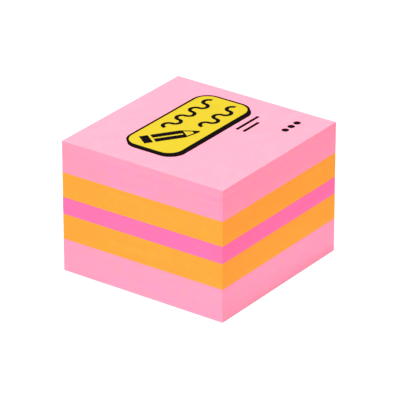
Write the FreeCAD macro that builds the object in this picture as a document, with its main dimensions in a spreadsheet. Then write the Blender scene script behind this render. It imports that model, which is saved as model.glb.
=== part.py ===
"""A small square cube of sticky notes, in millimetres.

Four hundred notes lie in five bands of colour: pink, orange, magenta, orange, pink. Each band is
one block of paper, because its notes stay stuck together until they are peeled. A note is held to
the one below by a strip of adhesive on its underside, along its back edge, so its front is free.
The strips inside a band belong to its block. The strips under the first note and under each band
are pieces of their own. The first note carries the print: a yellow panel with a black rim and
shadow, which holds a pencil and two wavy lines, and a few small black marks in front of it.
A release sheet backs the last note.

The origin is the middle of the underside. +Z is up, and -Y faces the person who reads the print.
"""
import FreeCAD, Part
import os
import re
import Sketcher

OUT_FOLDER = "parts"
UPRIGHT = FreeCAD.Vector(0, 0, 1)
ROUGH_HALF = 1.0  # half a sketch's side before the sheet sets it

# Every size that can be set by itself: its name, its value, and what it is.
SIZES = [
    ("pad_width", 51.0, "across the notes, left to right"),
    ("pad_depth", 51.0, "from the free front edge to the glued back edge"),
    ("note_thickness", 0.093, "one note with its share of adhesive"),
    ("upper_pink_count", 97, "notes in the top band, the printed one included"),
    ("upper_orange_count", 77, "notes in the second band"),
    ("magenta_count", 52, "notes in the middle band"),
    ("lower_orange_count", 77, "notes in the fourth band"),
    ("lower_pink_count", 97, "notes in the bottom band"),
    ("backing_thickness", 0.1, "release sheet under the last note"),
    ("adhesive_thickness", 0.02, "one strip of adhesive"),
    ("adhesive_depth", 15.0, "strip, measured forward from the back edge"),
    ("ink_thickness", 0.02, "printed film"),
    ("panel_length", 36.0, "yellow panel, along X"),
    ("panel_height", 16.0, "yellow panel, along Y"),
    ("panel_corner", 4.0, "corner radius of the yellow panel"),
    ("panel_rim", 0.7, "width of the black rim round the panel"),
    ("panel_right", 2.0, "middle of the panel, right of the pad's middle"),
    ("panel_back", 5.0, "middle of the panel, behind the pad's middle"),
    ("shadow_left", 1.2, "how far the panel's black shadow lies to its left"),
    ("shadow_front", 1.2, "how far the panel's black shadow lies in front of it"),
    ("pencil_width", 4.6, "across the barrel"),
    ("pencil_tilt", 55.0, "degrees that the pencil leans from upright"),
    ("pencil_tip_inset", 16.0, "point of the pencil, from the panel's left edge"),
    ("pencil_tip_front", 5.0, "point of the pencil, in front of the panel's middle"),
    ("eraser_length", 2.4, "tail of the pencil"),
    ("ferrule_gap", 0.7, "bare stripe between eraser and barrel"),
    ("barrel_length", 8.2, "from ferrule to shoulder"),
    ("barrel_stripe", 0.7, "bare line along the middle of the barrel"),
    ("point_length", 4.6, "sharpened cone"),
    ("lead_width", 0.8, "blunt end of the lead"),
    ("lead_length", 1.8, "black part of the sharpened cone"),
    ("wood_border", 0.6, "black line round the bare wood"),
    ("wave_radius", 1.5, "middle of a wavy line in each half turn"),
    ("wave_line", 1.1, "width of a wavy line"),
    ("wave_spacing", 7.6, "from the front wavy line to the back one"),
    ("wave_inset", 2.2, "end of the wavy lines, from the panel's right edge"),
    ("wave_gap", 2.0, "least room between the pencil's point and the front wavy line"),
    ("back_wave_extra", 2, "half turns that the back wavy line has more than the front one"),
    ("rule_length", 10.0, "longer of the two short rules"),
    ("rule_step", 3.0, "how much shorter the second rule is"),
    ("rule_width", 0.9, "each rule"),
    ("rule_pitch", 2.2, "from one rule to the next"),
    ("rule_inset", 3.4, "right end of the longer rule, from the panel's right edge"),
    ("rule_front", 4.0, "middle of the first rule, in front of the panel's front edge"),
    ("dot_radius", 1.0, "each of the small dots"),
    ("dot_pitch", 2.7, "from one dot to the next"),
    ("dot_count", 3, "small dots in a row"),
    ("dot_edge_right", 6.4, "middle of the last dot, from the pad's right edge"),
    ("dot_edge_front", 8.0, "middle of the dots, from the pad's front edge"),
]
NAMES = {name for name, value, meaning in SIZES}

doc = FreeCAD.newDocument("sticky_note_cube")
sheet = doc.addObject("Spreadsheet::Sheet", "Sizes")
for row, (name, value, meaning) in enumerate(SIZES, start=1):
    sheet.set(f"A{row}", name)
    sheet.set(f"B{row}", str(value))
    sheet.set(f"C{row}", meaning)
    sheet.setAlias(f"B{row}", name)
doc.recompute()


def over_sizes(words):
    """The expression that words stands for, with each size's name pointed at its cell."""
    return re.sub(r"[a-z_]+", lambda found: ("Sizes." if found[0] in NAMES else "") + found[0],
                  words)


def bind(thing, **expressions):
    """Ties properties to the sheet. Double underscores stand for the dots of a property's path."""
    for path, words in expressions.items():
        thing.setExpression(path.replace("__", "."), over_sizes(words))


def place(thing, x="0", y="0", z="0"):
    """Ties an object's place to the sheet."""
    bind(thing, Placement__Base__x=x, Placement__Base__y=y, Placement__Base__z=z)


def turn(thing, degrees):
    """Turns an object about its own upright axis, anticlockwise from above."""
    thing.Placement.Rotation = FreeCAD.Rotation(UPRIGHT, degrees)


def centred_rectangle(body, width, depth):
    """A sketch on the body's own XY plane: a rectangle about the origin."""
    plane = next(f for f in body.Origin.OriginFeatures if f.Role == "XY_Plane")
    sketch = body.newObject("Sketcher::SketchObject", body.Name + "_outline")
    sketch.AttachmentSupport = [(plane, "")]
    sketch.MapMode = "FlatFace"
    corners = [
        FreeCAD.Vector(x * ROUGH_HALF, y * ROUGH_HALF, 0)
        for x, y in ((-1, -1), (1, -1), (1, 1), (-1, 1))
    ]
    for start, end in zip(corners, corners[1:] + corners[:1]):
        sketch.addGeometry(Part.LineSegment(start, end), False)
    for line in range(4):
        sketch.addConstraint(Sketcher.Constraint("Coincident", line, 2, (line + 1) % 4, 1))
    for line, way in enumerate(("Horizontal", "Vertical", "Horizontal", "Vertical")):
        sketch.addConstraint(Sketcher.Constraint(way, line))
    sketch.addConstraint(Sketcher.Constraint("Symmetric", 0, 1, 1, 2, -1, 1))
    side = 2 * ROUGH_HALF
    across = sketch.addConstraint(Sketcher.Constraint("DistanceX", 0, 1, 0, 2, side))
    along = sketch.addConstraint(Sketcher.Constraint("DistanceY", 1, 1, 1, 2, side))
    sketch.renameConstraint(across, "width")
    sketch.renameConstraint(along, "depth")
    bind(sketch, Constraints__width=width, Constraints__depth=depth)
    return sketch


def slab(name, width, depth, thickness, corner=None):
    """A flat body with square or rounded corners, its underside at z = 0 of its own frame."""
    body = doc.addObject("PartDesign::Body", name)
    pad = body.newObject("PartDesign::Pad", name + "_pad")
    pad.Profile = centred_rectangle(body, width, depth)
    bind(pad, Length=thickness)
    body.Tip = pad
    if corner:
        doc.recompute()
        upright_edges = [
            f"Edge{number}"
            for number, edge in enumerate(pad.Shape.Edges, start=1)
            if edge.tangentAt(edge.FirstParameter).isParallel(UPRIGHT, 0.01)
        ]
        fillet = body.newObject("PartDesign::Fillet", name + "_corners")
        fillet.Base = (pad, upright_edges)
        bind(fillet, Radius=corner)
        body.Tip = fillet
    return body


def bar(name, width, length, x, y):
    """A straight bar of ink, with its lower left corner at x, y."""
    ink = doc.addObject("Part::Box", name)
    bind(ink, Length=width, Width=length, Height="ink_thickness")
    place(ink, x, y)
    return ink


def disc(name, radius):
    """A round spot of ink."""
    ink = doc.addObject("Part::Cylinder", name)
    bind(ink, Radius=radius, Height="ink_thickness")
    return ink


def taper(name, low_half, high_half, low, high):
    """A film of ink that widens evenly between two heights, with its half width at each."""
    ink = doc.addObject("Part::Wedge", name)
    bind(ink,
         Xmin=f"-({low_half})", Xmax=low_half, X2min=f"-({high_half})", X2max=high_half,
         Ymin=low, Ymax=high,
         Zmin="0", Zmax="ink_thickness", Z2min="0", Z2max="ink_thickness")
    return ink


def fused(name, pieces):
    """One shape from several."""
    whole = doc.addObject("Part::MultiFuse", name)
    whole.Shapes = pieces
    return whole


def cut(name, base, tool):
    """What is left of base without tool."""
    rest = doc.addObject("Part::Cut", name)
    rest.Base = base
    rest.Tool = tool
    return rest


def stack():
    """Backing sheet, five blocks of notes and the printed note, with the adhesive between them."""
    blocks = [
        ("lower_pink_notes", "lower_pink_count"),
        ("lower_orange_notes", "lower_orange_count"),
        ("magenta_notes", "magenta_count"),
        ("upper_orange_notes", "upper_orange_count"),
        ("upper_pink_notes", "(upper_pink_count - 1)"),
        ("printed_note", "1"),
    ]
    pieces = [slab("backing_sheet", "pad_width", "pad_depth", "backing_thickness")]
    level = "backing_thickness"
    for name, count in blocks:
        strip = slab(name + "_adhesive", "pad_width", "adhesive_depth", "adhesive_thickness")
        place(strip, y="(pad_depth - adhesive_depth) / 2", z=level)
        level += " + adhesive_thickness"
        block = slab(name, "pad_width", "pad_depth", f"{count} * note_thickness")
        place(block, z=level)
        level += f" + {count} * note_thickness"
        pieces += [strip, block]
    return pieces, level


def pencil():
    """The pencil, drawn upright with its point at the origin and its tail up, then leaned over."""
    half_barrel = "(pencil_width - barrel_stripe) / 2"
    shoulder = "point_length"
    tail = "point_length + barrel_length + ferrule_gap"
    # The cone widens evenly, so its half width at any height follows from its two ends.
    spread = "(pencil_width - lead_width) / 2 / point_length"
    wood_top = "(point_length - wood_border)"
    cone = taper("cone", "lead_width / 2", "pencil_width / 2", "0", shoulder)
    wood = taper("bare_wood",
                 f"lead_width / 2 + {spread} * lead_length - wood_border",
                 f"lead_width / 2 + {spread} * {wood_top} - wood_border",
                 "lead_length", wood_top)
    drawn = fused("pencil", [
        cut("sharpened_point", cone, wood),
        bar("left_of_barrel", half_barrel, "barrel_length", "-pencil_width / 2", shoulder),
        bar("right_of_barrel", half_barrel, "barrel_length", "barrel_stripe / 2", shoulder),
        bar("eraser", "pencil_width", "eraser_length", "-pencil_width / 2", tail),
    ])
    turn(drawn, sheet.pencil_tilt)
    place(drawn, "panel_right - panel_length / 2 + pencil_tip_inset",
          "panel_back - pencil_tip_front")
    return drawn


def wavy_line(name, half_turns, side):
    """Half rings in a row that bulge back and front in turn, counted from the line's right end."""
    halves = []
    for number in range(half_turns):
        outer = disc(f"{name}_outer_{number}", "wave_radius + wave_line / 2")
        inner = disc(f"{name}_inner_{number}", "wave_radius - wave_line / 2")
        outer.Angle = inner.Angle = 180
        half = cut(f"{name}_half_{number}", outer, inner)
        turn(half, 180 * (number % 2))
        from_edge = f"wave_inset + wave_radius * {2 * number + 1}"
        place(half, f"panel_right + panel_length / 2 - ({from_edge})",
              f"panel_back {side} wave_spacing / 2")
        halves.append(half)
    return fused(name, halves)


def wavy_lines():
    """Two wavy lines, the front one with as many half turns as the pencil's point leaves room."""
    room = sheet.panel_length - sheet.pencil_tip_inset - sheet.wave_gap - sheet.wave_inset
    half_turns = int(room / (2 * sheet.wave_radius))
    return [
        wavy_line("front_wave", half_turns, "-"),
        wavy_line("back_wave", half_turns + int(sheet.back_wave_extra), "+"),
    ]


def small_marks():
    """Two short rules in front of the panel, and a row of dots near the pad's front corner."""
    left_end = "panel_right + panel_length / 2 - rule_inset - rule_length"
    first = "panel_back - panel_height / 2 - rule_front - rule_width / 2"
    marks = [
        bar("first_rule", "rule_length", "rule_width", left_end, first),
        bar("second_rule", "rule_length - rule_step", "rule_width", left_end,
            first + " - rule_pitch"),
    ]
    for number in range(int(sheet.dot_count)):
        dot = disc(f"dot_{number}", "dot_radius")
        place(dot, f"pad_width / 2 - dot_edge_right - dot_pitch * {number}",
              "-pad_depth / 2 + dot_edge_front")
        marks.append(dot)
    return marks


def printing(level):
    """The yellow and the black ink, side by side on the printed note."""
    outer_size = ("panel_length + 2 * panel_rim", "panel_height + 2 * panel_rim",
                  "ink_thickness", "panel_corner + panel_rim")
    panel = slab("panel", "panel_length", "panel_height", "ink_thickness", "panel_corner")
    rim = slab("rim", *outer_size)
    shadow = slab("shadow", *outer_size)
    for plate in (panel, rim):
        place(plate, "panel_right", "panel_back")
    place(shadow, "panel_right - shadow_left", "panel_back - shadow_front")
    drawing = fused("drawing", [pencil()] + wavy_lines())
    border = cut("border", fused("rim_and_shadow", [rim, shadow]), panel)
    films = [
        cut("yellow_ink", panel, drawing),
        fused("black_ink", [border, drawing] + small_marks()),
    ]
    for film in films:
        place(film, z=level)
    return films


nodes, top = stack()
nodes += printing(top)
doc.recompute()

failed = [thing.Name for thing in doc.Objects if {"Invalid", "Error"} & set(thing.State)]
failed += [
    node.Name
    for node in nodes
    if node.Shape.isNull() or not node.Shape.isValid() or not node.Shape.Solids
]
if failed:
    raise RuntimeError("these objects failed: " + ", ".join(failed))

os.makedirs(OUT_FOLDER, exist_ok=True)
for node in nodes:
    node.Label = node.Name
    node.Shape.exportStep(os.path.join(OUT_FOLDER, node.Label + ".step"))
    box = node.Shape.BoundBox
    print(f"{node.Label}: {len(node.Shape.Solids)} solids, {node.Shape.Volume:.4f} mm3,"
          f" z {box.ZMin:.3f} to {box.ZMax:.3f}")
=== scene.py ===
"""The looks of a small cube of sticky notes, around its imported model.

Each band of notes is drawn as its separate sheets, cut on four sides, and the top note carries the
printed films. The pad stands on a pale light table, seen along the photograph's line of sight.
"""
from collections import namedtuple

import bpy
import numpy as np
from mathutils import Matrix, Vector


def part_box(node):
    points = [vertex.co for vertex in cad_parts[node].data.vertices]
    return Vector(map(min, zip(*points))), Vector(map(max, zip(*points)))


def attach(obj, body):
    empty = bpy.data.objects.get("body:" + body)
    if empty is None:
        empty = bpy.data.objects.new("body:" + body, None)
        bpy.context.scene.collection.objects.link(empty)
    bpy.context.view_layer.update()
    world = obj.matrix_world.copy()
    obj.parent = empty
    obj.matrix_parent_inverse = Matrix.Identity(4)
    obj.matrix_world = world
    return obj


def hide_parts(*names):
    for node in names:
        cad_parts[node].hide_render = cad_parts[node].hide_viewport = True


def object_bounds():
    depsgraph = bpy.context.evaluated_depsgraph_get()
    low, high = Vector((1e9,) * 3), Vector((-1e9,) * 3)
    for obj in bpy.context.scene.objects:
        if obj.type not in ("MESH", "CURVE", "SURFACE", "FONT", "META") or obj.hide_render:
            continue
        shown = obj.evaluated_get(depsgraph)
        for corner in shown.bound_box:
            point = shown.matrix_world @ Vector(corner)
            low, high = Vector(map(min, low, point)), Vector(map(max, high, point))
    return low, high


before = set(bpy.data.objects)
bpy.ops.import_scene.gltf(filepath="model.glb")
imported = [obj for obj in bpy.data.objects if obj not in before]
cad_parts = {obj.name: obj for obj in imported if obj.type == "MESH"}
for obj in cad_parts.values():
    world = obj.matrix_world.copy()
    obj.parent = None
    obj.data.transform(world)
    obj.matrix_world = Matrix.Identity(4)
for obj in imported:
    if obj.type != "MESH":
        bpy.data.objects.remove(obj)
cad_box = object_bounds()

MM = 0.001
Texture = namedtuple("Texture", "sizes detail strength")

# The cut sides of the stack: sizes in millimetres, steps as counts, and the groove between two
# notes as a share of a note's thickness on either side
NOTE_THICKNESS = 0.093
CORNER_RADIUS = 0.08
CORNER_STEPS = 2
SIDE_STEPS = 26
GROOVE_DEPTH = 0.022
GROOVE_SHARE = 0.19
FILM_INSET = 0.04

# The wander of the knife, as waves with a length along the side, a height and a size, and how much
# single sheets stand in or out, in millimetres. The bands have seeds 1 to 5, from the foot up.
CUT_WAVES = ((24.0, 11.0, 0.008), (37.0, 4.6, 0.0035), (15.0, 6.8, 0.0032), (44.0, 1.7, 0.0013))
WAVES_SEED = 11
BACKING_CUT_SEED = 9
ADHESIVE_CUT_SEED = 10
JITTER = 0.0035
JITTER_REACH = (14, 40)
PROUD_SHARE = 0.04
PROUD_BY = 0.014

# How far the bands climb at half height, in millimetres, at the glued and at the free end
CLIMB_GLUED = 0.22
CLIMB_FREE = 0.52

# The top note's free edge, in millimetres, how much of its lift its left end has, and how many
# squares the note has along a side
LIFT = 0.06
LIFT_BAND = 5.0
LIFT_LEFT = 0.1
NOTE_CELLS = 64

# The map of a stack: its sides unrolled into one strip, and its two flat faces above that
STRIP_TOP = 0.86
STRIP_MARGIN = 0.006
FACE_PLACES = ((0.02, 0.87), (0.22, 0.87))
FACE_SIZE = 0.12

# Linear colours
PINK_EDGE = (0.975, 0.310, 0.440)
# Painted light: the lower pink band's cut sides are the upper band's pink, made lighter for the
# table's bounce light low down
PINK_EDGE_PAINTED_LIGHTER = (0.975, 0.328, 0.466)
ORANGE_EDGE = (0.975, 0.366, 0.042)
MAGENTA_EDGE = (0.97, 0.171, 0.392)
PINK_FACE = (0.96, 0.368, 0.472)
BACKING = (0.66, 0.64, 0.62)
ADHESIVE = (0.80, 0.66, 0.60)
YELLOW = (0.66, 0.50, 0.020)
BLACK = (0.004, 0.002, 0.003)

# Each band's slot, and the colours of its cut sides and of its sheets' faces
BANDS = {
    # The lower pink band's cut sides are painted lighter, as if lit by the table's bounce
    "lower_pink_notes": ("pink_paper", PINK_EDGE_PAINTED_LIGHTER, PINK_FACE),
    "lower_orange_notes": ("orange_paper", ORANGE_EDGE, ORANGE_EDGE),
    "magenta_notes": ("magenta_paper", MAGENTA_EDGE, MAGENTA_EDGE),
    "upper_orange_notes": ("orange_paper", ORANGE_EDGE, ORANGE_EDGE),
    "upper_pink_notes": ("pink_paper", PINK_EDGE, PINK_FACE),
}

# Textures: the size of their patches in millimetres along X, Y and Z, how much finer detail they
# have, and their strength, either way from 1 for a lightness and from 0 for a share or a bump
ALONG_SHEET = Texture((18.0, 18.0, 2.2), 2.0, 0.03)
STREAKS = Texture((34.0, 34.0, 0.55), 2.0, 0.026)
KNIFE_MARKS = Texture((0.16, 0.16, 9.0), 2.0, 0.015)
CUT_GRAIN = Texture((0.45, 0.45, 0.35), 2.0, 0.02)
CUT_PATCHES = Texture((2.6, 2.6, 1.7), 2.0, 0.6)
DYE = Texture((2.2, 2.2, 2.0), 2.0, 1.0)
CUT_TOOTH = Texture((0.10, 0.10, 1.6), 2.0, 0.5)
CLOUDS = Texture((5.5, 4.2, 5.0), 3.0, 0.034)
FIBRES = Texture((0.9, 0.22, 1.0), 3.0, 0.055)
FACE_PATCHES = Texture((1.7, 1.7, 1.7), 2.0, 1.0)
FACE_TOOTH = Texture((0.14, 0.07, 0.1), 3.0, 0.7)
COAT_CLOUDS = Texture((2.4, 1.6, 2.0), 3.0, 0.03)
COAT_FLECKS = Texture((0.3, 0.3, 0.1), 2.0, 0.02)
COAT_WAVES = Texture((0.5, 0.3, 0.2), 2.0, 0.4)
YELLOW_TEXTURES = (Texture((3.2, 3.2, 3.2), 3.0, 0.02), Texture((0.12, 0.12, 0.12), 2.0, 0.02))
BLACK_TEXTURES = (Texture((3.2, 3.2, 3.2), 3.0, 0.12), Texture((0.12, 0.12, 0.12), 2.0, 0.12))

# Noise keeps within about a quarter of its middle, and this brings it up to the whole strength
NOISE_GAIN = 4

# Seeds of the textures. A texture is shifted along X, Y and Z by its seed times these shares, and
# each further texture of a material has a seed that is a step higher.
SEED_SHARES = (1.0, 1.7, 2.3)
SEED_STEP = 1.3
BAND_SEED_STEP = 20.0
NOTE_FACE_SEED = 210.0
NOTE_EDGE_SEED = 230.0
YELLOW_SEED = 250.0
BLACK_SEED = 270.0
BACKING_SEED = 290.0
ADHESIVE_SEED = 310.0

# Roughness and specular level of each surface
CUT_GLOSS = (0.88, 0.15)
FACE_GLOSS = (0.86, 0.18)
YELLOW_GLOSS = (0.7, 0.1)
BLACK_GLOSS = (0.7, 0.02)
BACKING_GLOSS = (0.5, 0.35)
ADHESIVE_GLOSS = (0.35, 0.35)

# Depth of the bumps, in millimetres
CUT_TOOTH_DEPTH = 0.004
FACE_TOOTH_DEPTH = 0.008
INK_TOOTH_DEPTH = 0.004
COAT_WAVE_DEPTH = 0.006

# The seam between two sheets gets painted shade, from a share of the way from a sheet's middle
# to its face, darkening the cut side by a share. Each sheet has its own tone, and its own stretch
# of its texture.
SEAM_SHADE_START = 0.56
SEAM_PAINTED_SHADE = 0.16
SHEET_TONES = 0.012
SHEET_STRETCH = 3.0

# Patches in the dye of the cut sides, from warm to cool and from pale to dense, and the denser look
# of the glued end, which starts over a few millimetres along a wandering line
WARM = -0.20
COOL = 0.26
DENSE = 0.20
GLUED_DENSE = 0.14
GLUED_SHARE = 0.5
GLUED_BLEND = 6.0
GLUED_WANDER = 3.0
FACE_COOL = 0.03
FACE_DENSE = 0.12

# Light, in units in which 1.0 lights a white face to full white, with distances in metres. The
# horizon's band is a height on a sphere of radius 1.
SKY = 0.70
HORIZON = 1.25
HORIZON_BAND = 0.14
FLOOR_GLOW = 0.80
FLOOR_ALBEDO = 0.35
FLOOR_RADIUS = 3.0
FLOOR_CORNERS = 96
KEY_LEVEL = 0.96
KEY_FROM = (-0.46, -0.01, 0.89)
KEY_DISTANCE = 1.5
KEY_SIZE = (1.2, 1.2)
CARD_LEVEL = 0.62
CARD_SIZE = (0.07, 0.034)
CARD_SHIFT = 0.012
CARD_GAP = 0.003
CARD_HEIGHT = 0.0005

# The photograph's line of sight, in degrees and millimetres, from a fit to the pad's outlines
AZIMUTH = -54.216
ELEVATION = 25.883
DISTANCE = 945.32
CAMERA_RIGHT = 0.067
CAMERA_UP = -0.949
LENS = 325.24
SENSOR = 36.0
CLIP = (0.05, 20.0)

# Places of a Mix node's sockets for colours, which share their names with others
MIX_FACTOR, MIX_ONE, MIX_TWO, MIX_RESULT = 0, 6, 7, 2


class Recipe:
    """A material, with short ways to add nodes to its tree and to join them."""

    def __init__(self, name, seed, gloss):
        self.material = bpy.data.materials.new(name)
        self.material.use_nodes = True
        self.tree = self.material.node_tree
        self.shader = self.tree.nodes["Principled BSDF"]
        roughness, specular = gloss
        self.shader.inputs["Roughness"].default_value = roughness
        self.shader.inputs["Specular IOR Level"].default_value = specular
        self.place = self.add("ShaderNodeTexCoord").outputs["Object"]
        self.seed = seed

    def add(self, kind, inputs=None, **settings):
        """A node with its settings, and with numbers or other nodes' outputs on its inputs."""
        made = self.tree.nodes.new(kind)
        for name, value in settings.items():
            setattr(made, name, value)
        for key, value in (inputs or {}).items():
            if isinstance(value, bpy.types.NodeSocket):
                self.tree.links.new(value, made.inputs[key])
            else:
                made.inputs[key].default_value = value
        return made

    def maths(self, operation, one, two=0.0):
        """The result of a sum, difference, product or the like."""
        return self.add("ShaderNodeMath", {0: one, 1: two}, operation=operation).outputs[0]

    def ramp(self, value, start, end, most=1.0):
        """A factor that grows from 0 at the start to the most at the end."""
        ends = {"Value": value, "From Min": start, "From Max": end, "To Min": 0.0, "To Max": most}
        return self.add("ShaderNodeMapRange", ends).outputs[0]

    def noise(self, texture, place=None):
        """Noise from 0 to 1 with the patches of a texture, and different at each call."""
        self.seed += SEED_STEP
        scale = [1 / (size * MM) for size in texture.sizes]
        shift = [self.seed * share for share in SEED_SHARES]
        spot = self.add("ShaderNodeMapping",
                        {"Vector": place or self.place, "Scale": scale, "Location": shift})
        made = self.add("ShaderNodeTexNoise",
                        {"Vector": spot.outputs[0], "Scale": 1.0, "Detail": texture.detail})
        return made.outputs["Fac"]

    def swing(self, noise, strength):
        """A factor around 1 that follows a noise, about the strength either way."""
        centred = self.maths("SUBTRACT", noise, 0.5)
        return self.maths("ADD", self.maths("MULTIPLY", centred, NOISE_GAIN * strength), 1.0)

    def uneven(self, texture, place=None):
        """A factor around 1 with the patches and the strength of a texture."""
        return self.swing(self.noise(texture, place), texture.strength)

    def tint(self, colour, factors):
        """The colour, with its lightness multiplied by each factor."""
        whole = factors[0]
        for factor in factors[1:]:
            whole = self.maths("MULTIPLY", whole, factor)
        shaded = self.add("ShaderNodeVectorMath", {0: colour, "Scale": whole}, operation="SCALE")
        return shaded.outputs[0]

    def mix(self, factor, one, two):
        """A colour between two."""
        one, two = (colour if isinstance(colour, bpy.types.NodeSocket) else (*colour, 1.0)
                    for colour in (one, two))
        sockets = {MIX_FACTOR: factor, MIX_ONE: one, MIX_TWO: two}
        return self.add("ShaderNodeMix", sockets, data_type="RGBA").outputs[MIX_RESULT]

    def bump(self, texture, depth):
        """Puts a texture on the surface as bump, of a depth in millimetres."""
        made = self.add("ShaderNodeBump", {"Height": self.noise(texture), "Distance": depth * MM,
                                           "Strength": texture.strength})
        self.tree.links.new(made.outputs[0], self.shader.inputs["Normal"])

    def finish(self, colour):
        """Joins the colour to the shader and gives the material."""
        self.tree.links.new(colour, self.shader.inputs["Base Color"])
        return self.material


def cooler(colour, by):
    """The colour with more blue and less green in it, or warmer where it is by less than 0."""
    return colour[0], colour[1] * (1 - by / 3), colour[2] * (1 + by)


def denser(colour, by):
    """The colour with its weaker channels brought down, as dyed paper looks where it is denser."""
    strongest = max(colour)
    return tuple(part * (1 - by * (1 - part / strongest)) for part in colour)


def sheet_count(node):
    """How many notes a node holds. The backing and the films of adhesive count as one."""
    low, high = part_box(node)
    return max(1, round((high.z - low.z) / (NOTE_THICKNESS * MM)))


def piece_name(node):
    """The name of the piece that stands for a node."""
    return "".join(word.title() for word in node.split("_"))


def sheet_factors(recipe, node):
    """Painted shade of the seams between a node's sheets, and lightness of each sheet and along
    each sheet.
    """
    low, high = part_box(node)
    pitch = (high.z - low.z) / sheet_count(node)
    x, y, z = recipe.add("ShaderNodeSeparateXYZ", {0: recipe.place}).outputs
    count = recipe.maths("DIVIDE", recipe.maths("SUBTRACT", z, low.z), pitch)
    sheet = recipe.maths("FLOOR", count)
    centred = recipe.maths("SUBTRACT", recipe.maths("FRACT", count), 0.5)
    to_face = recipe.maths("MULTIPLY", recipe.maths("ABSOLUTE", centred), 2.0)
    # Painted shade along the seams between sheets, darkest at each sheet's faces
    seam_shade = recipe.ramp(to_face, SEAM_SHADE_START, 1.0, SEAM_PAINTED_SHADE)
    tone = recipe.add("ShaderNodeTexWhiteNoise", {"W": sheet}, noise_dimensions="1D")
    level = recipe.maths("MULTIPLY", sheet, SHEET_STRETCH * MM)
    on_sheet = recipe.add("ShaderNodeCombineXYZ", {0: x, 1: y, 2: level}).outputs[0]
    return [recipe.maths("SUBTRACT", 1.0, seam_shade),
            recipe.swing(tone.outputs["Value"], SHEET_TONES),
            recipe.uneven(ALONG_SHEET, on_sheet)]


def dyed(recipe, colour):
    """The colour of cut sides: warmer and cooler, paler and denser by patches and at the glue."""
    patches = recipe.noise(CUT_PATCHES)
    tone = recipe.mix(recipe.noise(DYE), cooler(colour, WARM), cooler(colour, COOL))
    share = recipe.maths("MULTIPLY", patches, CUT_PATCHES.strength)
    tone = recipe.mix(share, tone, denser(colour, DENSE))
    y = recipe.add("ShaderNodeSeparateXYZ", {0: recipe.place}).outputs["Y"]
    wandering = recipe.maths("ADD", y, recipe.maths("MULTIPLY", patches, GLUED_WANDER * MM))
    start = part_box("printed_note_adhesive")[0].y
    glued = recipe.ramp(wandering, start, start + GLUED_BLEND * MM, GLUED_SHARE)
    return recipe.mix(glued, tone, denser(colour, GLUED_DENSE))


def cut_paper(name, colour, seed, node):
    """The cut side of a node's sheets, with painted shade at the seams, sheets that differ, streaks
    and knife marks.
    """
    recipe = Recipe(name, seed, CUT_GLOSS)
    recipe.place = recipe.add("ShaderNodeAttribute", attribute_name="unbent").outputs["Vector"]
    factors = sheet_factors(recipe, node)
    factors += [recipe.uneven(texture) for texture in (STREAKS, KNIFE_MARKS, CUT_GRAIN)]
    recipe.bump(CUT_TOOTH, CUT_TOOTH_DEPTH)
    return recipe.finish(recipe.tint(dyed(recipe, colour), factors))


def sheet_paper(name, colour, seed):
    """The face of a note: cloudy where the fibres lie thicker, with a fine tooth."""
    recipe = Recipe(name, seed, FACE_GLOSS)
    patches = recipe.noise(FACE_PATCHES)
    tone = recipe.mix(patches, cooler(colour, FACE_COOL), denser(colour, FACE_DENSE))
    recipe.bump(FACE_TOOTH, FACE_TOOTH_DEPTH)
    return recipe.finish(recipe.tint(tone, [recipe.uneven(CLOUDS), recipe.uneven(FIBRES)]))


def printed_ink(name, colour, seed, gloss, textures):
    """Ink on paper: a little uneven in density, with the paper's tooth showing through."""
    recipe = Recipe(name, seed, gloss)
    recipe.bump(FACE_TOOTH, INK_TOOTH_DEPTH)
    return recipe.finish(recipe.tint(colour, [recipe.uneven(texture) for texture in textures]))


def coated_paper(name, colour, seed, gloss):
    """Release paper, and the film of adhesive: smooth, with faint mottling."""
    recipe = Recipe(name, seed, gloss)
    recipe.bump(COAT_WAVES, COAT_WAVE_DEPTH)
    return recipe.finish(recipe.tint(colour, [recipe.uneven(COAT_CLOUDS),
                                              recipe.uneven(COAT_FLECKS)]))


def ring(half_x, half_y):
    """Places round a cut note, anticlockwise from its right back corner, and the ways out."""
    places, ways = [], []
    inner = np.array([half_x, half_y]) - CORNER_RADIUS
    signs = np.array([(1, 1), (-1, 1), (-1, -1), (1, -1)])
    for quarter in range(4):
        turns = np.pi / 2 * (quarter + np.linspace(0, 1, CORNER_STEPS + 1))
        for way in np.column_stack([np.cos(turns), np.sin(turns)]):
            places.append(signs[quarter] * inner + CORNER_RADIUS * way)
            ways.append(way)
        start, out = places[-1], ways[-1]
        end = signs[(quarter + 1) % 4] * inner + CORNER_RADIUS * out
        for share in np.arange(1, SIDE_STEPS) / SIDE_STEPS:
            places.append(start + (end - start) * share)
            ways.append(out)
    return np.array(places), np.array(ways)


def cut_drift(along, side, heights):
    """How far the cut wanders in or out, in millimetres, by place and height."""
    draws = np.random.default_rng(WAVES_SEED)
    drift = np.zeros((len(heights), len(along)))
    for reach, rise, size in CUT_WAVES:
        phase = draws.uniform(0, 2 * np.pi, 4)[side]
        turns = along[None, :] / reach + heights[:, None] / rise
        drift += size * np.sin(2 * np.pi * turns + phase[None, :])
    return drift


def sheet_drift(along, side, sheets, seed):
    """How far each sheet's own edge stands in or out, in millimetres, along its length."""
    draws = np.random.default_rng(seed)
    steady = draws.normal(0, JITTER, sheets).clip(-2 * JITTER, 2 * JITTER)
    steady += np.where(draws.random(sheets) < PROUD_SHARE, PROUD_BY, 0)
    reach = draws.uniform(*JITTER_REACH, sheets)[:, None]
    phase = draws.uniform(0, 2 * np.pi, (sheets, 4))[:, side]
    return steady[:, None] + JITTER * np.sin(2 * np.pi * along[None, :] / reach + phase)


def row_heights(bottom, top, sheets):
    """Heights of a stack's rows of points: each sheet's groove, its cut foot and its cut top."""
    in_sheet = np.array([0, GROOVE_SHARE, 1 - GROOVE_SHARE])
    rows = np.arange(sheets)[:, None] + in_sheet
    return np.append(bottom + rows.ravel() * (top - bottom) / sheets, top)


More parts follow.
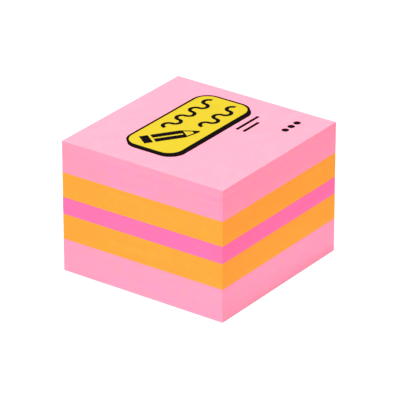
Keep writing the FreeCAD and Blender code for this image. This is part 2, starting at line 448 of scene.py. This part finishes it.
def climbed(points):
    """The points, raised in the middle of the pad's height and most at its free end."""
    half = cad_box[1].y / MM
    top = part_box("upper_pink_notes")[1].z / MM
    share_free = (half - points[:, 1]) / (2 * half)
    rise = CLIMB_GLUED + (CLIMB_FREE - CLIMB_GLUED) * share_free
    rise *= np.sin(np.pi * (points[:, 2] / top).clip(0, 1))
    return points + rise[:, None] * [0, 0, 1]


def mesh_piece(name, points, unbent, faces, materials, kinds):
    """A mesh from points in millimetres, which also keeps where each would lie in a flat pad."""
    mesh = bpy.data.meshes.new(name)
    mesh.from_pydata((points * MM).tolist(), [], faces)
    for material in materials:
        mesh.materials.append(material)
    mesh.polygons.foreach_set("material_index", kinds)
    flat = mesh.attributes.new("unbent", "FLOAT_VECTOR", "POINT")
    flat.data.foreach_set("vector", (unbent * MM).astype(np.float32).ravel())
    piece = bpy.data.objects.new(name, mesh)
    bpy.context.scene.collection.objects.link(piece)
    return piece


def stack_faces(rows, columns):
    """The faces of a stack: its side by rows, then its bottom and its top."""
    faces = [
        (row * columns + column, row * columns + (column + 1) % columns,
         (row + 1) * columns + (column + 1) % columns, (row + 1) * columns + column)
        for row in range(rows - 1)
        for column in range(columns)
    ]
    faces.append(tuple(reversed(range(columns))))
    faces.append(tuple(range((rows - 1) * columns, rows * columns)))
    return faces


def stack_map(mesh, rows, columns):
    """A UV map that unrolls the sides of a stack into one strip, with its flat faces above it."""
    layer = mesh.uv_layers.new(name="OFBake")
    ups = np.linspace(STRIP_MARGIN, STRIP_TOP, rows)
    acrosses = np.linspace(STRIP_MARGIN, 1 - STRIP_MARGIN, columns + 1)
    rolled = []
    for low, high in zip(ups, ups[1:]):
        for left, right in zip(acrosses, acrosses[1:]):
            rolled += [(left, low), (right, low), (right, high), (left, high)]
    for polygon, place in zip(mesh.polygons[-2:], FACE_PLACES):
        spots = np.array([mesh.vertices[vertex].co[:2] for vertex in polygon.vertices])
        spread = (spots - spots.min(0)) / np.ptp(spots, axis=0)
        rolled += (place + FACE_SIZE * spread).tolist()
    layer.data.foreach_set("uv", np.array(rolled).ravel())


def stack(node, edge_material, face_material, seed, inset=0.0):
    """A block of sheets with every sheet's cut edge, in the space of its CAD solid."""
    low, high = (np.array(corner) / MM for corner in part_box(node))
    middle, half = (low + high) / 2, (high - low) / 2
    places, ways = ring(half[0] - inset, half[1] - inset)
    along = places[:, 0] * ways[:, 1] - places[:, 1] * ways[:, 0]
    side = np.round(np.arctan2(ways[:, 1], ways[:, 0]) / (np.pi / 2)).astype(int) % 4
    sheets = sheet_count(node)
    heights = row_heights(low[2], high[2], sheets)
    rows, columns = len(heights), len(places)
    out = np.full((rows, columns), -GROOVE_DEPTH)
    out[1::3] = out[2::3] = sheet_drift(along, side, sheets, seed)
    out += cut_drift(along, side, heights)
    flat = places[None] + ways[None] * out[..., None] + middle[:2]
    unbent = np.dstack([flat, np.broadcast_to(heights[:, None], out.shape)]).reshape(-1, 3)
    faces = stack_faces(rows, columns)
    kinds = [0] * (len(faces) - 2) + [1, 1]
    piece = mesh_piece(piece_name(node), climbed(unbent), unbent, faces,
                       [edge_material, face_material], kinds)
    stack_map(piece.data, rows, columns)
    return piece


def note_faces(cells):
    """The faces of one note: its top and bottom as squares, then its thin rim."""
    across = cells + 1
    below = across * across
    faces = []
    for row in range(cells):
        for column in range(cells):
            corner = row * across + column
            square = (corner, corner + 1, corner + across + 1, corner + across)
            faces.append(square)
            faces.append(tuple(below + vertex for vertex in reversed(square)))
    rim = (
        list(range(cells))
        + [cells + across * row for row in range(cells)]
        + [below - 1 - column for column in range(cells)]
        + [across * (cells - row) for row in range(cells)]
    )
    edges = [(below + one, below + two, two, one) for one, two in zip(rim, rim[1:] + rim[:1])]
    return faces + edges, [0] * len(faces) + [1] * len(edges)


def top_note(node, face_material, edge_material):
    """The printed note: flat under its print, with a free front edge that lifts by a hair."""
    low, high = (np.array(corner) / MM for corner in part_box(node))
    xs, ys = (np.linspace(low[axis], high[axis], NOTE_CELLS + 1) for axis in (0, 1))
    grid_x, grid_y = np.meshgrid(xs, ys)
    near_edge = ((low[1] + LIFT_BAND - grid_y) / LIFT_BAND).clip(0, 1)
    to_right = (grid_x - low[0]) / (high[0] - low[0])
    lift = LIFT * near_edge**2 * (LIFT_LEFT + (1 - LIFT_LEFT) * to_right)
    layers = [np.dstack([grid_x, grid_y, np.full_like(grid_x, level)]).reshape(-1, 3)
              for level in (high[2], low[2])]
    unbent = np.concatenate(layers)
    points = unbent + np.tile(lift.ravel(), 2)[:, None] * [0, 0, 1]
    faces, kinds = note_faces(NOTE_CELLS)
    materials = [face_material, edge_material]
    return mesh_piece(piece_name(node), points, unbent, faces, materials, kinds)


def dress(piece, node):
    """Puts a piece in its CAD node's place."""
    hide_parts(node)
    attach(piece, "root")


def paint(node, material):
    """Gives a CAD node that stays its finish."""
    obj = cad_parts[node]
    if not obj.material_slots:
        obj.data.materials.append(material)
    for place in obj.material_slots:
        place.link = "OBJECT"
        place.material = material


def build_bands():
    """The five bands of notes, each with its own papers."""
    for seed, (node, (slot, edge, face)) in enumerate(BANDS.items(), start=1):
        edges = cut_paper(piece_name(node) + "Edges", edge, BAND_SEED_STEP * seed, node)
        faces = sheet_paper(piece_name(node) + "Face", face, BAND_SEED_STEP * seed)
        dress(stack(node, edges, faces, seed), node)


def build_printed_note():
    """The top note and the two inks on it."""
    face = sheet_paper("PrintedNoteFace", PINK_FACE, NOTE_FACE_SEED)
    edge = cut_paper("PrintedNoteEdge", PINK_EDGE, NOTE_EDGE_SEED, "printed_note")
    dress(top_note("printed_note", face, edge), "printed_note")
    yellow = printed_ink("YellowInk", YELLOW, YELLOW_SEED, YELLOW_GLOSS, YELLOW_TEXTURES)
    paint("yellow_ink", yellow)
    black = printed_ink("BlackInk", BLACK, BLACK_SEED, BLACK_GLOSS, BLACK_TEXTURES)
    paint("black_ink", black)


def build_backing_and_glue():
    """The release sheet, and the strips of adhesive, a hair in from the cut sides."""
    backing = coated_paper("BackingPaper", BACKING, BACKING_SEED, BACKING_GLOSS)
    sheet = stack("backing_sheet", backing, backing, BACKING_CUT_SEED)
    dress(sheet, "backing_sheet")
    glue = coated_paper("AdhesiveFilm", ADHESIVE, ADHESIVE_SEED, ADHESIVE_GLOSS)
    for node in [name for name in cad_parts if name.endswith("_adhesive")]:
        dress(stack(node, glue, glue, ADHESIVE_CUT_SEED, FILM_INSET), node)


def build_floor():
    """A round light table: white, and bright enough that the pad throws hardly any shadow."""
    bpy.ops.mesh.primitive_circle_add(vertices=FLOOR_CORNERS, radius=FLOOR_RADIUS,
                                      fill_type="NGON")
    table = bpy.context.object
    table.name = "LightTable"
    material = bpy.data.materials.new("LightTableWhite")
    material.use_nodes = True
    shader = material.node_tree.nodes["Principled BSDF"]
    shader.inputs["Base Color"].default_value = (FLOOR_ALBEDO, FLOOR_ALBEDO, FLOOR_ALBEDO, 1)
    shader.inputs["Roughness"].default_value = 1.0
    shader.inputs["Specular IOR Level"].default_value = 0.0
    shader.inputs["Emission Color"].default_value = (1, 1, 1, 1)
    shader.inputs["Emission Strength"].default_value = FLOOR_GLOW
    table.data.materials.append(material)


def build_room():
    """An even white room, brighter at its horizon."""
    world = bpy.data.worlds.new("Studio")
    bpy.context.scene.world = world
    world.use_nodes = True
    tree = world.node_tree
    apart = tree.nodes.new("ShaderNodeSeparateXYZ")
    tree.links.new(tree.nodes.new("ShaderNodeTexCoord").outputs["Generated"], apart.inputs[0])
    level = tree.nodes.new("ShaderNodeMapRange")
    tree.links.new(apart.outputs["Z"], level.inputs["Value"])
    level.inputs["From Min"].default_value = 0.0
    level.inputs["From Max"].default_value = HORIZON_BAND
    level.inputs["To Min"].default_value = HORIZON
    level.inputs["To Max"].default_value = SKY
    tree.links.new(level.outputs[0], tree.nodes["Background"].inputs["Strength"])
    tree.nodes["Background"].inputs["Color"].default_value = (1, 1, 1, 1)


def lamp(name, size, watts, place, away):
    """A soft lamp of a width and depth, at a place, that shines against the way given."""
    light = bpy.data.lights.new(name, "AREA")
    light.shape = "RECTANGLE"
    light.size, light.size_y = size
    light.energy = watts
    holder = bpy.data.objects.new(name, light)
    bpy.context.scene.collection.objects.link(holder)
    holder.location = place
    holder.rotation_euler = away.to_track_quat("Z", "Y").to_euler()


def build_lamps():
    """A broad lamp above and to the left, and a bright card on the table before the front edge."""
    # An area lamp of P watts lights a face at distance d to P / (pi d)^2 of full white.
    way = Vector(KEY_FROM).normalized()
    lamp("Key", KEY_SIZE, KEY_LEVEL * (np.pi * KEY_DISTANCE) ** 2, way * KEY_DISTANCE, way)

    # It looks as bright as P / (pi times its area) of full white.
    width, depth = CARD_SIZE
    place = Vector((CARD_SHIFT, cad_box[0].y - CARD_GAP - depth / 2, CARD_HEIGHT))
    lamp("Card", CARD_SIZE, CARD_LEVEL * np.pi * width * depth, place, Vector((0, 0, -1)))


def build_camera():
    """The photograph's camera: looking down without roll, with a long lens, aimed by the fit."""
    turn, rise = np.radians(AZIMUTH), np.radians(ELEVATION)
    back = Vector((np.sin(turn) * np.cos(rise), -np.cos(turn) * np.cos(rise), np.sin(rise)))
    right = Vector((np.cos(turn), np.sin(turn), 0))
    up = back.cross(right)
    low, high = cad_box
    middle = (low + high) / 2
    camera = bpy.data.cameras.new("PhotoCamera")
    camera.lens = LENS
    camera.sensor_width = SENSOR
    camera.clip_start, camera.clip_end = CLIP
    seat = bpy.data.objects.new("PhotoCamera", camera)
    bpy.context.scene.collection.objects.link(seat)
    place = middle + (back * DISTANCE + right * CAMERA_RIGHT + up * CAMERA_UP) * MM
    seat.matrix_world = Matrix.Translation(place) @ Matrix((right, up, back)).transposed().to_4x4()
    bpy.context.scene.camera = seat


build_bands()
build_printed_note()
build_backing_and_glue()
build_floor()
build_room()
build_lamps()
build_camera()
bpy.context.scene.view_settings.view_transform = "Standard"
